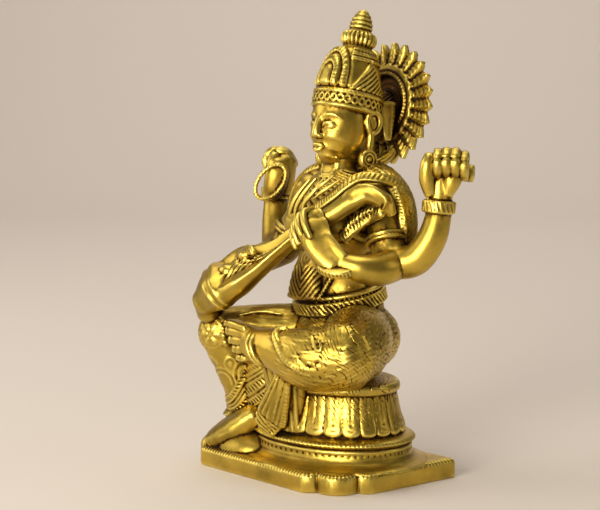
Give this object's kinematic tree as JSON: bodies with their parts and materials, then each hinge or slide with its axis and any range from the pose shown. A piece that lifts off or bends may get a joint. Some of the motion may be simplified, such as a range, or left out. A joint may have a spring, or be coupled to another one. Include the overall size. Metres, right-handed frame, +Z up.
{
  "type": "saraswati figure",
  "caption": "Cast brass figure of a seated goddess playing a long-necked lute, on a lotus pedestal with a petalled halo, that stands by its own weight.",
  "frame": {"origin": "middle of the base plate's underside", "axes": "+Z up along the figure's height, the figure faces -Y, and her own left side is +X"},
  "size_m": [0.1045, 0.0683, 0.1614],
  "materials": {
    "brass": "satin polished on high parts, dark patina in recesses"
  },
  "bodies": {
    "root": {"brass_figure": "brass"}
  },
  "joints": []
}
